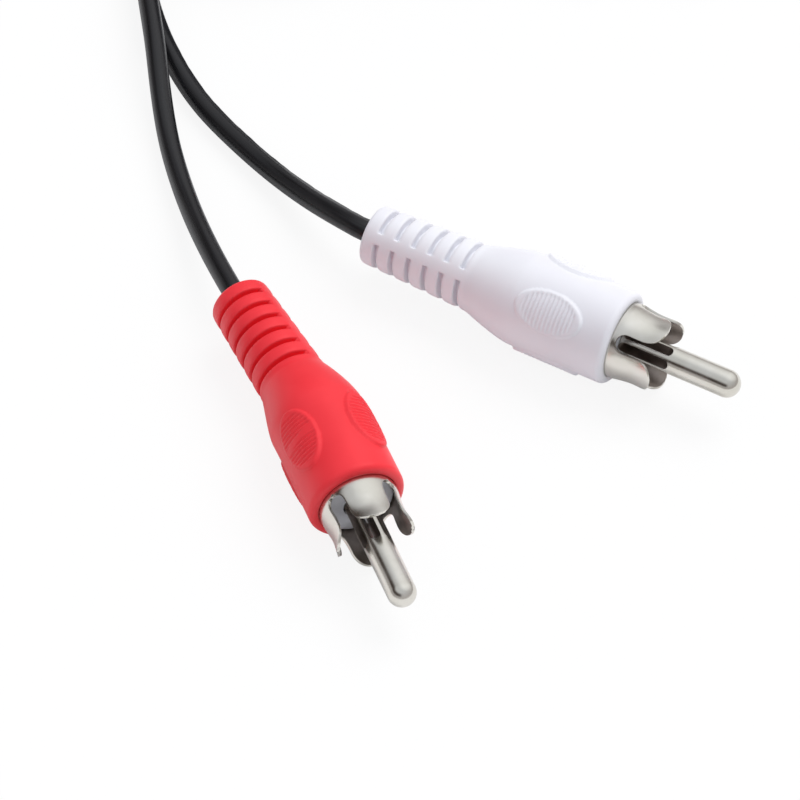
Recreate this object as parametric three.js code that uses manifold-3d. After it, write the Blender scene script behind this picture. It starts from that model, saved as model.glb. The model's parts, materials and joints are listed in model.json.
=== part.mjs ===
// Stereo phono lead: a black twin cord with a red and a white moulded plug at each end.
// Millimetres, +Z up, with the surface that the lead lies on at z = 0. The origin is under
// the middle of the two near plugs, +X runs to the right and +Y away from the viewer.
// Each plug is made along its own x axis, with x = 0 at the boot's front face and the pin at +x.

import * as THREE from "three";
import { mergeVertices } from "three/addons/utils/BufferGeometryUtils.js";
import Module from "manifold-3d";

const wasm = await Module();
wasm.setup();

// Boot, the soft moulded grip
const barrelDiameter = 11;
const barrelLength = 12;
const frontEdgeRound = 0.5;
const shoulderLength = 6.2;
const reliefStartDiameter = 8;
const reliefEndDiameter = 7;
const reliefLength = 13.9;
const tailRound = 0.5;
const groovesCount = 6;
const grooveWidth = 0.65;
const groovePitch = 2.15;
const grooveDepth = 0.9;
const grooveStart = 1.1;
const ribWidth = 1.4;

// Grip pads, four round the barrel
const padsCount = 4;
const padLength = 7.3;
const padWidth = 4.2;
const padHeight = 0.3;
const padCentre = -7.8;

// Ground shell, rolled from sheet, with four springy petals
const shellDiameter = 8.9;
const sheetThickness = 0.3;
const petalLength = 5.4;
const petalPinch = 0.25;
const petalSlotWidth = 2.2;
const petalSlotStart = 0.6;
const petalCornerRound = 2;
const shellSleeveLength = 5.1;
const shellTailLength = 5.3;
const shellTailChord = 3.95;

// Centre pin, a tube with a rounded tip, lengthwise windows and a solder cup behind
const pinDiameter = 3.2;
const pinLength = 14.5;
const pinWall = 0.4;
const pinBoreDepth = 8;
const windowsCount = 6;
const windowWidth = 1.2;
const windowStart = 0.2;
const windowEnd = 6.3;
const windowTurn = Math.PI / 18;
const cupDiameter = 2;
const cupLength = 7.2;
const cupBore = 1.1;

// Insulator disc, and the inner mould that the boot is moulded over
const insulatorThickness = 3.8;
const insulatorRecess = 0.4;
const mouldLength = 11;
const mouldTailDiameter = 6.7;
const mouldSlotWidth = 1.2;

// Cord, one of the two that make the twin
const cordDiameter = 2.5;
const cordWall = 0.3;
const coreDiameter = 1.4;
const coreBore = 0.7;
const conductorDiameter = 0.4;
const shieldDiameter = 0.7;
const webWidth = 0.3;

// The near red plug's boot lies flexed sideways: its middle line turns over this stretch
const flexAngle = 0.11;
const flexStart = -9;
const flexEnd = -17;

// Clearances: coaxial pieces, and the ends of pieces that meet
const fitClearance = 0.15;
const endClearance = 0.3;
const tieClearance = 0.3;

// Coil of spare cord: the outermost turn's middle line, the spacing of turns, two layers of twin
const coilX = -21.4;
const coilY = 97.1;
const coilOuterRadius = 20;
const coilTurnPitch = 2.6;
const coilTurns = 4;
const coilLayers = 2;

// Wire tie round the coil, with its two ends twisted together
const tieAngle = -0.6;
const tieWidth = 3.2;
const tieThickness = 0.5;
const tieCornerRound = 0.8;
const tieEndLength = 7;
const tieEndWidth = 1.6;
const tieEndTwist = Math.PI * 2.5;

// Facets
const boreSides = 20;
const pinSides = 12;
const wireSides = 8;
const thinSides = 6;
const coilSides = 32;
const cordStep = 6;
const flexRows = 3;
const halfStep = Math.PI / boreSides;

// Sizes that follow from the ones above
const barrelRadius = barrelDiameter / 2;
const shellRadius = shellDiameter / 2;
const pinRadius = pinDiameter / 2;
const cordRadius = cordDiameter / 2;
const mouthRadius = shellRadius + fitClearance;
const bootLength = barrelLength + shoulderLength + reliefLength;
const reliefX = -barrelLength - shoulderLength;
const shellInside = shellRadius - sheetThickness;
const shellRear = -shellSleeveLength - shellTailLength;
const mouldFront = -shellSleeveLength - endClearance;
const mouldStep = shellRear - fitClearance;
const mouldRear = mouldFront - mouldLength;
const jacketFront = mouldRear - endClearance;
const coilInside = coilOuterRadius - coilTurns * coilTurnPitch - cordRadius;
const twinHeight = 2 * cordDiameter + webWidth;
const coilHeight = coilLayers * twinHeight;

const materials = {
  red: new THREE.MeshStandardMaterial({ color: 0xe8434c, roughness: 0.42, metalness: 0 }),
  white: new THREE.MeshStandardMaterial({ color: 0xe9eaf3, roughness: 0.42, metalness: 0 }),
  black: new THREE.MeshStandardMaterial({ color: 0x252528, roughness: 0.4, metalness: 0 }),
  nickel: new THREE.MeshStandardMaterial({ color: 0xc8c5bc, roughness: 0.22, metalness: 1 }),
  copper: new THREE.MeshStandardMaterial({ color: 0xb87448, roughness: 0.35, metalness: 1 }),
  insulator: new THREE.MeshStandardMaterial({ color: 0x9a9fa8, roughness: 0.5, metalness: 0 }),
  mould: new THREE.MeshStandardMaterial({ color: 0xd8d6cc, roughness: 0.55, metalness: 0 }),
};

// A closed surface as a solid that can be joined and cut.
function solid(geometry) {
  const bare = geometry.clone();
  bare.deleteAttribute("normal");
  bare.deleteAttribute("uv");
  const merged = mergeVertices(bare, 1e-5);
  const index = merged.index.array;
  const corners = [];
  for (let i = 0; i < index.length; i += 3) {
    const [a, b, c] = index.slice(i, i + 3);
    if (a !== b && b !== c && c !== a) corners.push(a, b, c);
  }
  return new wasm.Manifold(new wasm.Mesh({
    numProp: 3,
    vertProperties: new Float32Array(merged.attributes.position.array),
    triVerts: new Uint32Array(corners),
  }));
}

// A solid back as a surface.
function surface(body) {
  const mesh = body.getMesh();
  const geometry = new THREE.BufferGeometry();
  geometry.setAttribute("position", new THREE.BufferAttribute(mesh.vertProperties, 3));
  geometry.setIndex(new THREE.BufferAttribute(mesh.triVerts, 1));
  geometry.computeVertexNormals();
  return geometry;
}

// A closed outline of [x, radius] points, turned about the x axis. It runs from the front's
// inner edge outwards, back along the outside, and forwards again on the inside.
function turned(outline, sides, firstAngle = 0) {
  const points = [...outline, outline[0]].reverse().map(([x, radius]) => new THREE.Vector2(radius, x));
  const geometry = new THREE.LatheGeometry(points, sides, firstAngle, Math.PI * 2);
  return solid(geometry.rotateZ(-Math.PI / 2));
}

// A plain tube about the x axis.
function sleeve(xLow, xHigh, inside, outside, sides, firstAngle = 0) {
  return turned([[xHigh, inside], [xHigh, outside], [xLow, outside], [xLow, inside]], sides, firstAngle);
}

// A box from its lowest to its highest corner, with rows along x if it is to be bent.
function block(low, high, rows = 1) {
  const size = high.map((value, i) => value - low[i]);
  const middle = high.map((value, i) => (value + low[i]) / 2);
  return solid(new THREE.BoxGeometry(...size, rows).translate(...middle));
}

// Outline points of a straight run at one radius, with a few more where the plug can be flexed.
function run(from, to, radius) {
  const between = [];
  for (let i = 0; i <= flexRows; i += 1) {
    const x = flexStart + ((flexEnd - flexStart) * i) / flexRows;
    if ((x - from) * (x - to) < 0) between.push([x, radius]);
  }
  if (to > from) between.reverse();
  return [[from, radius], ...between, [to, radius]];
}

// An outline drawn in x and y, standing on radius low and reaching radius high along +z.
function prism(outline, low, high, curveSegments) {
  const options = { depth: high - low, bevelEnabled: false, curveSegments };
  return solid(new THREE.ExtrudeGeometry(outline, options).translate(0, 0, low));
}

// Copies of a solid spaced evenly round the x axis, as one solid.
function around(body, count) {
  const copies = [];
  for (let i = 0; i < count; i += 1) copies.push(body.rotate([(360 * i) / count, 0, 0]));
  return wasm.Manifold.union(copies);
}

// A tube along a curve.
function tube(curve, diameter, sides, steps) {
  const section = new THREE.Shape();
  section.absarc(0, 0, diameter / 2, 0, Math.PI * 2);
  const round = new THREE.Shape(section.getSpacedPoints(sides).slice(0, sides));
  return new THREE.ExtrudeGeometry(round, { steps, bevelEnabled: false, extrudePath: curve });
}

// Sideways bend of a plug that lies rolled over: behind flexStart its middle line turns to its
// right until it has turned by the given angle at flexEnd, and runs straight on from there.
function sideways(angle, roll) {
  if (angle === 0) return () => {};
  const turn = new THREE.Matrix4().makeRotationX(roll);
  const turnBack = turn.clone().invert();
  const radius = (flexStart - flexEnd) / angle;
  return (vertex) => {
    const point = new THREE.Vector3(...vertex).applyMatrix4(turn);
    const turned = THREE.MathUtils.clamp((flexStart - point.x) / radius, 0, angle);
    const straight = Math.min(0, point.x - flexEnd);
    const front = Math.max(point.x, flexStart);
    point.x = front - Math.sin(turned) * (radius + point.y) + Math.cos(turned) * straight;
    point.y = Math.cos(turned) * (radius + point.y) - radius + Math.sin(turned) * straight;
    point.applyMatrix4(turnBack);
    [vertex[0], vertex[1], vertex[2]] = point.toArray();
  };
}

// Points of a quarter round between two directions, from the first angle to the last.
function arcPoints(x, radius, round, from, to, steps) {
  const points = [];
  for (let i = 0; i <= steps; i += 1) {
    const angle = from + ((to - from) * i) / steps;
    points.push([x + round * Math.cos(angle), radius + round * Math.sin(angle)]);
  }
  return points;
}

// Boot: barrel, curved shoulder and tapered strain relief. Rings are cut into the relief,
// and two ribs on the mould's parting plane run through them. The front is hollow for the
// ground shell, the middle for the inner mould, and the tail for the cord.
function makeBoot(bend) {
  const relief = (x) => THREE.MathUtils.mapLinear(
    x, reliefX, -bootLength, reliefStartDiameter / 2, reliefEndDiameter / 2);
  const shoulder = new THREE.QuadraticBezierCurve(
    new THREE.Vector2(-barrelLength, barrelRadius),
    new THREE.Vector2(-barrelLength - shoulderLength / 4, barrelRadius),
    new THREE.Vector2(reliefX, reliefStartDiameter / 2),
  );
  const tailRadius = reliefEndDiameter / 2;
  const cordHole = cordRadius + fitClearance;
  const mouldHole = mouldTailDiameter / 2 + fitClearance;
  const outline = [
    [0, mouthRadius],
    ...arcPoints(-frontEdgeRound, barrelRadius - frontEdgeRound, frontEdgeRound, 0, Math.PI / 2, 2),
    ...shoulder.getPoints(3).map((p) => [p.x, p.y]),
    ...arcPoints(tailRound - bootLength, tailRadius - tailRound, tailRound, Math.PI / 2, Math.PI, 1),
    ...run(-bootLength, mouldRear - fitClearance, cordHole),
    ...run(mouldRear - fitClearance, mouldStep - fitClearance, mouldHole),
    [mouldStep - fitClearance, mouthRadius],
  ];
  const rings = [];
  for (let i = 0; i < groovesCount; i += 1) {
    const x = reliefX - grooveStart - i * groovePitch;
    const ring = sleeve(x - grooveWidth / 2, x + grooveWidth / 2, relief(x) - grooveDepth,
      barrelRadius, boreSides, halfStep);
    rings.push(ring);
  }
  const ribs = block([-bootLength, -ribWidth / 2, -barrelRadius - 1],
    [reliefX, ribWidth / 2, barrelRadius + 1]);
  const oval = new THREE.Shape();
  oval.absellipse(padCentre, 0, padLength / 2, padWidth / 2, 0, Math.PI * 2);
  const padRoot = (barrelRadius * Math.cos(Math.asin(padWidth / barrelDiameter)) + mouthRadius) / 2;
  const padTop = turned([[0, 0], [0, barrelRadius + padHeight], [-bootLength, barrelRadius + padHeight],
    [-bootLength, 0]], boreSides, halfStep);
  const pads = around(prism(oval, padRoot, barrelDiameter, 7), padsCount).intersect(padTop);
  const body = turned(outline, boreSides, halfStep).warp(bend);
  const grooves = wasm.Manifold.union(rings).subtract(ribs).warp(bend);
  return surface(body.subtract(grooves).add(pads.warp(bend)));
}

// Ground shell: a sleeve that pinches in and flares again at the mouth, slit into petals.
// Behind the insulator only a strip is left, which the cord's shield is soldered to.
function makeGroundShell(bend) {
  const line = [
    [petalLength, shellRadius - petalPinch / 5],
    [petalLength * 0.75, shellRadius - petalPinch * 0.7],
    [petalLength / 2, shellRadius - petalPinch],
    [petalSlotStart, shellRadius],
    [shellRear, shellRadius],
  ];
  const inside = line.map(([x, radius]) => [x, radius - sheetThickness]).reverse();
  const tip = petalLength + 1;
  const slot = new THREE.Shape();
  const half = petalSlotWidth / 2;
  const round = petalLength - petalCornerRound;
  slot.moveTo(petalSlotStart + half, -half);
  slot.lineTo(round, -half);
  slot.quadraticCurveTo(petalLength, -half, petalLength, -half - petalCornerRound);
  slot.lineTo(tip, -half - petalCornerRound);
  slot.lineTo(tip, half + petalCornerRound);
  slot.lineTo(petalLength, half + petalCornerRound);
  slot.quadraticCurveTo(petalLength, half, round, half);
  slot.lineTo(petalSlotStart + half, half);
  slot.absarc(petalSlotStart + half, 0, half, Math.PI / 2, Math.PI * 1.5);
  const slots = around(prism(slot, pinRadius, barrelRadius, 3), 4);
  const rear = block([shellRear - 1, -barrelRadius, -barrelRadius],
    [-shellSleeveLength, barrelRadius, shellTailChord]);
  const shell = turned([...line, ...inside], boreSides, halfStep).subtract(slots).subtract(rear);
  return surface(shell.warp(bend));
}

// Centre pin: a round-ended tube with windows along it, and a solder cup behind.
function makeCentrePin() {
  const tip = arcPoints(pinLength - pinRadius, 0, pinRadius, 0, Math.PI / 2, 3);
  const bore = pinRadius - pinWall;
  const outline = [
    ...tip.map(([x, radius], i) => [x, i === 0 ? 0 : radius]),
    [-insulatorThickness - insulatorRecess, pinRadius],
    [-insulatorThickness - insulatorRecess, cupDiameter / 2],
    [-cupLength, cupDiameter / 2],
    [-cupLength, cupBore / 2],
    [-pinRadius, cupBore / 2],
    [0, bore],
    [pinBoreDepth, bore],
    [pinBoreDepth + bore / 2, 0],
  ];
  const half = windowWidth / 2;
  const window = new THREE.Shape();
  window.moveTo(windowStart + half, -half);
  window.absarc(windowEnd - half, 0, half, -Math.PI / 2, Math.PI / 2);
  window.absarc(windowStart + half, 0, half, Math.PI / 2, Math.PI * 1.5);
  const windows = around(prism(window, bore / 2, pinDiameter, 2), windowsCount);
  return surface(turned(outline, pinSides).subtract(windows));
}

// Insulator: a disc inside the ground shell that holds the pin in the middle.
function makeInsulator() {
  const rear = -insulatorRecess - insulatorThickness + fitClearance;
  return surface(sleeve(rear, -insulatorRecess, pinRadius + fitClearance,
    shellInside - fitClearance, boreSides, halfStep));
}

// Inner mould: stiff plastic round the solder joints, with a slot for the shield's tail.
function makeInnerMould(bend) {
  const hole = coreDiameter / 2 + fitClearance;
  const outline = [
    [mouldFront, cupDiameter / 2 + fitClearance],
    [mouldFront, shellInside - fitClearance],
    [mouldStep, shellInside - fitClearance],
    ...run(mouldStep, mouldRear, mouldTailDiameter / 2),
    ...run(mouldRear, -cupLength - fitClearance, hole),
    [-cupLength - fitClearance, cupDiameter / 2 + fitClearance],
  ];
  const slot = block([mouldRear - 1, -mouldSlotWidth / 2, 0], [0, mouldSlotWidth / 2, barrelRadius],
    flexRows * 2);
  return surface(turned(outline, pinSides).warp(bend).subtract(slot.warp(bend)));
}

// Conductor: the cord's copper core, bare in the solder cup.
function makeConductor(bend) {
  const front = -pinRadius - endClearance;
  const outline = [[front, 0], ...run(front, -bootLength, conductorDiameter / 2), [-bootLength, 0]];
  return surface(turned(outline, thinSides).warp(bend));
}

// Core insulation, from the solder cup back into the cord.
function makeCoreInsulation(bend) {
  const front = -cupLength - endClearance;
  const outline = [...run(front, -bootLength, coreDiameter / 2), ...run(-bootLength, front, coreBore / 2)];
  return surface(turned(outline, wireSides).warp(bend));
}

// Jacket end: the stretch of the cord's jacket that the boot grips.
function makeJacketEnd(bend) {
  const inside = cordRadius - cordWall;
  const outline = [...run(jacketFront, -bootLength, cordRadius), ...run(-bootLength, jacketFront, inside)];
  return surface(turned(outline, wireSides).warp(bend));
}

// Shield tail: the cord's spiral shield, gathered and laid along under the shell's strip.
function makeShieldTail(bend) {
  const low = coreDiameter / 2 + fitClearance + shieldDiameter / 2;
  const high = shellInside - fitClearance - shieldDiameter / 2;
  const curve = new THREE.CatmullRomCurve3([
    new THREE.Vector3(jacketFront + endClearance, 0, low),
    new THREE.Vector3(jacketFront + 2, 0, low + 0.2),
    new THREE.Vector3(mouldStep - 1.6, 0, (low + high) / 2),
    new THREE.Vector3(mouldStep + 0.8, 0, high - 0.1),
    new THREE.Vector3(-shellSleeveLength - 1.5, 0, high),
  ]);
  return surface(solid(tube(curve, shieldDiameter, thinSides, 8)).warp(bend));
}

// One plug: mouth at (x, y), lying on its barrel, turned to its heading. It is rolled over, so
// that it lies between two grip pads, but its pin's windows keep their turn from upright. Its
// boot can be flexed sideways, with the pieces inside it.
function makePlug(name, colour, x, y, heading, roll, flex = 0) {
  const bend = sideways(flex, roll);
  const pieces = [
    ["boot", makeBoot(bend), colour],
    ["ground_shell", makeGroundShell(bend), "nickel"],
    ["centre_pin", makeCentrePin(), "nickel"],
    ["insulator", makeInsulator(), "insulator"],
    ["inner_mould", makeInnerMould(bend), "mould"],
    ["shield_tail", makeShieldTail(bend), "copper"],
    ["core_insulation", makeCoreInsulation(bend), "mould"],
    ["conductor", makeConductor(bend), "copper"],
    ["jacket_end", makeJacketEnd(bend), "black"],
  ];
  const plug = new THREE.Group();
  plug.position.set(x, y, barrelRadius);
  plug.rotation.set(roll, 0, heading, "ZYX");
  plug.userData.bend = bend;
  for (const [piece, geometry, material] of pieces) {
    const mesh = new THREE.Mesh(geometry, materials[material]);
    mesh.name = `${name}_${piece}`;
    if (piece === "centre_pin") mesh.rotation.x = windowTurn - roll;
    plug.add(mesh);
  }
  return plug;
}

// Point on a plug's middle line behind its boot, by its distance from the boot's tail.
function behind(plug, distance) {
  const point = [-bootLength - distance, 0, 0];
  plug.userData.bend(point);
  plug.updateMatrixWorld(true);
  return plug.localToWorld(new THREE.Vector3(...point));
}

// One uncoiled stretch of cord along its points. Points that come from a plug are already vectors.
function makeCord(name, points) {
  const curve = new THREE.CatmullRomCurve3(points.map((p) => (p.isVector3 ? p : new THREE.Vector3(...p))));
  const steps = Math.round(curve.getLength() / cordStep);
  const mesh = new THREE.Mesh(tube(curve, cordDiameter, wireSides, steps), materials.black);
  mesh.name = name;
  return mesh;
}

// Coil: the outer shape of the wound turns, with a shallow notch below where the tie passes.
function makeCoil() {
  const inside = coilInside;
  const outside = coilOuterRadius + cordRadius;
  const edge = cordRadius * 0.6;
  const section = [
    [0, inside + edge], [edge, inside], [coilHeight - edge, inside], [coilHeight, inside + edge],
    [coilHeight, outside - edge], [coilHeight - edge, outside], [edge, outside], [0, outside - edge],
  ];
  const points = [...section, section[0]].reverse().map(([z, radius]) => new THREE.Vector2(radius, z));
  const ring = solid(new THREE.LatheGeometry(points, coilSides).rotateX(Math.PI / 2));
  const gap = tieWidth / 2 + endClearance;
  const notch = block([inside - edge, -gap, -1], [outside + edge, gap, tieThickness + tieClearance]);
  const mesh = new THREE.Mesh(surface(ring.subtract(notch)), materials.black);
  mesh.name = "coil";
  return mesh;
}

// Outline of a rectangle with rounded corners.
function roundedRectangle(left, right, bottom, top, round) {
  const shape = new THREE.Shape();
  shape.moveTo(left + round, bottom);
  shape.absarc(right - round, bottom + round, round, -Math.PI / 2, 0);
  shape.absarc(right - round, top - round, round, 0, Math.PI / 2);
  shape.absarc(left + round, top - round, round, Math.PI / 2, Math.PI);
  shape.absarc(left + round, bottom + round, round, Math.PI, Math.PI * 1.5);
  return shape;
}

// Wire tie: a flat strip bent round the coil's section, with its ends twisted into a stem.
function makeTie() {
  const left = coilInside - tieClearance;
  const right = coilOuterRadius + cordRadius + tieClearance;
  const top = coilHeight + tieThickness + tieClearance * 2;
  const loop = roundedRectangle(left - tieThickness, right + tieThickness, 0, top + tieThickness,
    tieCornerRound + tieThickness);
  loop.holes.push(roundedRectangle(left, right, tieThickness, top, tieCornerRound));
  const strip = new THREE.ExtrudeGeometry(loop, { depth: tieWidth, bevelEnabled: false, curveSegments: 3 });
  strip.translate(0, 0, -tieWidth / 2).rotateX(Math.PI / 2);
  const stem = new THREE.BoxGeometry(tieEndLength, tieEndWidth, tieThickness * 2, 12, 1, 1);
  const position = stem.attributes.position;
  const point = new THREE.Vector3();
  for (let i = 0; i < position.count; i += 1) {
    point.fromBufferAttribute(position, i);
    point.applyAxisAngle(new THREE.Vector3(1, 0, 0), (tieEndTwist * point.x) / tieEndLength);
    position.setXYZ(i, point.x, point.y, point.z);
  }
  stem.translate(right + tieThickness / 2 + tieEndLength / 2, 0, top / 2);
  const mesh = new THREE.Mesh(surface(solid(strip).add(solid(stem))), materials.black);
  mesh.name = "coil_tie";
  return mesh;
}

const lead = new THREE.Group();
const degrees = Math.PI / 180;
const lyingRoll = Math.PI / padsCount;
const nearWhite = makePlug("near_white", "white", 16.46, 9.07, -30 * degrees, lyingRoll);
const nearRed = makePlug("near_red", "red", -12.8, -14.3, -68.8 * degrees, -lyingRoll, flexAngle);
const farWhite = makePlug("far_white", "white", 16.6, 88.2, -90 * degrees, lyingRoll);
const farRed = makePlug("far_red", "red", 30.6, 88.2, -90 * degrees, -lyingRoll);
lead.add(nearWhite, nearRed, farWhite, farRed);

// The two cords part 50 mm before the near plugs. Up to there they are a twin standing on its
// edge, the red plug's cord above the white plug's, one web's width apart.
lead.add(makeCord("near_red_cord", [
  behind(nearRed, endClearance),
  behind(nearRed, 3),
  [-30.1, 24, 4.2],
  [-33, 33.2, 2.5],
  [-35.3, 42, 2],
  [-36.3, 47.3, 2.3],
  [-37, 52, 3.1],
  [-37.7, 57.6, 4],
  [-38.9, 65.4, 4.05],
  [-40.4, 76, 4.05],
  [-41.4, 87, 4.05],
]));
lead.add(makeCord("near_white_cord", [
  behind(nearWhite, endClearance),
  behind(nearWhite, 1.5),
  [-15.4, 28.5, 4.9],
  [-18.6, 32.4, 3.5],
  [-23.2, 38.4, 1.9],
  [-27.8, 44.3, 1.4],
  [-32, 50.2, 1.3],
  [-35.6, 57.4, 1.3],
  [-38.5, 65.8, 1.3],
  [-40.4, 76, 1.3],
  [-41.4, 87, 1.3],
]));

const coil = new THREE.Group();
coil.position.set(coilX, coilY, 0);
coil.rotation.z = tieAngle;
coil.add(makeCoil(), makeTie());
lead.add(coil);

// Beyond the coil the twin comes off the upper layer, parts again and turns to the far plugs.
lead.add(makeCord("far_white_cord", [
  [-11.6, 117.2, 6.4],
  [-5.6, 118, 4.1],
  [0, 122, 2.3],
  [4.8, 128.8, 1.3],
  [8.1, 131.5, 1.3],
  [12.1, 131.7, 1.9],
  [15.4, 129.2, 3.4],
  [16.6, 125.4, 4.9],
  behind(farWhite, endClearance),
]));
lead.add(makeCord("far_red_cord", [
  [-11.6, 117.2, 9.3],
  [-5.8, 119.6, 7.5],
  [-1.6, 125.2, 5.3],
  [3.2, 131.8, 2.9],
  [10, 136.4, 1.5],
  [18.2, 138, 1.3],
  [25.4, 135.8, 2.2],
  [29.4, 130.4, 4],
  behind(farRed, 3),
  behind(farRed, endClearance),
]));

export default lead;
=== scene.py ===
# Stereo phono lead: a black twin cord with a red and a white moulded plug at each end.
# Sizes are in millimetres, and each mesh is scaled to metres as it is made.
import json

import bpy
import numpy as np
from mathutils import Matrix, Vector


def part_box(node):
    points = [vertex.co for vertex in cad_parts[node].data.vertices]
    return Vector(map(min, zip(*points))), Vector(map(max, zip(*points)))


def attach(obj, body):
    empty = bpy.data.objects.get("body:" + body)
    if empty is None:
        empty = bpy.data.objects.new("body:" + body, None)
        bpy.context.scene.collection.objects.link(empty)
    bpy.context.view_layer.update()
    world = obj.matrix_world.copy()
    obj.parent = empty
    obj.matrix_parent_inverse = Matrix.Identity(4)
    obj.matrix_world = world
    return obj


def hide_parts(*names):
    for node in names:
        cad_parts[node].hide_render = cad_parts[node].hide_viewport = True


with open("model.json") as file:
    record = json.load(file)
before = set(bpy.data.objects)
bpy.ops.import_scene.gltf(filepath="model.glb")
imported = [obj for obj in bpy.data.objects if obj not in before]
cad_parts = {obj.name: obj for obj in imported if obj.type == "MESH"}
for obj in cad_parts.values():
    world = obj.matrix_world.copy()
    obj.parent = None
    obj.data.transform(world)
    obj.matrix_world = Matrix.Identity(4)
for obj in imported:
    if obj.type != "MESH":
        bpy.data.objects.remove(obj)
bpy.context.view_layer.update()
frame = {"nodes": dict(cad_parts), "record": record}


# Camera
# It looks straight away from the viewer and down on the two near plugs, through a long lens.
# The coil and the far plugs lie past the top edge of its view.
METRES = 0.001
VIEW_MIDDLE = np.array([-8.31, 0.21, 5.5])
VIEW_DISTANCE = 400.0
VIEW_ELEVATION = np.radians(49.5)
LENS_LENGTH = 164.25
FILM_WIDTH = 36.0
NEAREST_SEEN = 10.0

camera_data = bpy.data.cameras.new("camera")
camera_data.lens = LENS_LENGTH
camera_data.sensor_width = FILM_WIDTH
camera_data.clip_start = NEAREST_SEEN * METRES
camera = bpy.data.objects.new("camera", camera_data)
bpy.context.scene.collection.objects.link(camera)
towards_camera = np.array([0, -np.cos(VIEW_ELEVATION), np.sin(VIEW_ELEVATION)])
camera.location = (VIEW_MIDDLE + VIEW_DISTANCE * towards_camera) * METRES
camera.rotation_euler = (np.pi / 2 - VIEW_ELEVATION, 0, 0)
bpy.context.scene.camera = camera


# Solder joints, cord cores and inner moulds
# Behind each mouth a copper conductor lies in the pin's cup, and the gathered shield on the
# shell's strip. Stiff natural plastic is moulded round both, before the soft boot.
PLUG_NAMES = ["near_white", "near_red", "far_white", "far_red"]
NOISE_LOW = 0.3
NOISE_HIGH = 0.7
TINT_LOW = 0.35
TINT_HIGH = 0.65


def new_material(name, colour, roughness, metallic=0.0):
    """A material with one Principled shader, and that shader, its nodes and its links."""
    material = bpy.data.materials.new(name)
    material.use_nodes = True
    nodes = material.node_tree.nodes
    shader = nodes["Principled BSDF"]
    shader.inputs["Base Color"].default_value = (*colour, 1)
    shader.inputs["Roughness"].default_value = roughness
    shader.inputs["Metallic"].default_value = metallic
    return material, shader, nodes, material.node_tree.links


def object_place(nodes):
    """The socket that gives each point's place on the object, in metres."""
    return nodes.new("ShaderNodeTexCoord").outputs["Object"]


def noise(nodes, links, place, scale, detail=4.0, stretch=(1, 1, 1)):
    """Noise over a place socket that is stretched along its axes first."""
    mapping = nodes.new("ShaderNodeMapping")
    mapping.inputs["Scale"].default_value = stretch
    texture = nodes.new("ShaderNodeTexNoise")
    texture.inputs["Scale"].default_value = scale
    texture.inputs["Detail"].default_value = detail
    links.new(place, mapping.inputs["Vector"])
    links.new(mapping.outputs["Vector"], texture.inputs["Vector"])
    return texture.outputs["Fac"]


def between(nodes, links, fraction, low, high):
    """A socket that runs from low to high as the fraction goes over the middle of noise's range."""
    mapped = nodes.new("ShaderNodeMapRange")
    mapped.inputs["From Min"].default_value = NOISE_LOW
    mapped.inputs["From Max"].default_value = NOISE_HIGH
    mapped.inputs["To Min"].default_value = low
    mapped.inputs["To Max"].default_value = high
    links.new(fraction, mapped.inputs["Value"])
    return mapped.outputs["Result"]


def tinted(nodes, links, shader, fraction, low, high):
    """Mixes the base colour between two colours by a fraction socket."""
    ramp = nodes.new("ShaderNodeValToRGB")
    ramp.color_ramp.elements[0].position = TINT_LOW
    ramp.color_ramp.elements[0].color = (*low, 1)
    ramp.color_ramp.elements[1].position = TINT_HIGH
    ramp.color_ramp.elements[1].color = (*high, 1)
    links.new(fraction, ramp.inputs["Fac"])
    links.new(ramp.outputs["Color"], shader.inputs["Base Color"])


def bumped(nodes, links, shader, height, distance, strength):
    """Raises the shader's surface by a height socket, over a distance in metres."""
    bump = nodes.new("ShaderNodeBump")
    bump.inputs["Strength"].default_value = strength
    bump.inputs["Distance"].default_value = distance
    links.new(height, bump.inputs["Height"])
    links.new(bump.outputs["Normal"], shader.inputs["Normal"])


def copper():
    """Bare drawn copper whose tone changes from strand to strand."""
    material, shader, nodes, links = new_material("bare_copper", (0.56, 0.26, 0.13),
                                                  roughness=0.32, metallic=1.0)
    strands = noise(nodes, links, object_place(nodes), scale=1500, stretch=(1, 1, 4))
    tinted(nodes, links, shader, strands, (0.5, 0.21, 0.1), (0.62, 0.3, 0.16))
    bumped(nodes, links, shader, strands, distance=0.0001, strength=0.4)
    return material


def natural_plastic():
    """Undyed plastic, cloudy and dull."""
    material, shader, nodes, links = new_material("natural_plastic", (0.68, 0.66, 0.58), roughness=0.5)
    clouds = noise(nodes, links, object_place(nodes), scale=600)
    tinted(nodes, links, shader, clouds, (0.64, 0.62, 0.54), (0.72, 0.7, 0.63))
    links.new(between(nodes, links, clouds, 0.42, 0.58), shader.inputs["Roughness"])
    return material


def covered_jacket():
    """The black jacket inside the boot, with a dull face where the boot's plastic held it."""
    material, shader, nodes, links = new_material("covered_jacket", (0.015, 0.015, 0.017), roughness=0.5)
    clouds = noise(nodes, links, object_place(nodes), scale=800)
    tinted(nodes, links, shader, clouds, (0.013, 0.013, 0.015), (0.02, 0.02, 0.022))
    return material


copper_material = copper()
natural_plastic_material = natural_plastic()
INNER_FINISHES = {
    "inner_mould": natural_plastic_material,
    "core_insulation": natural_plastic_material,
    "conductor": copper_material,
    "shield_tail": copper_material,
    "jacket_end": covered_jacket(),
}
for plug in PLUG_NAMES:
    for inner, finish in INNER_FINISHES.items():
        node = frame["nodes"][plug + "_" + inner]
        node.data.materials.clear()
        node.data.materials.append(finish)


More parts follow.
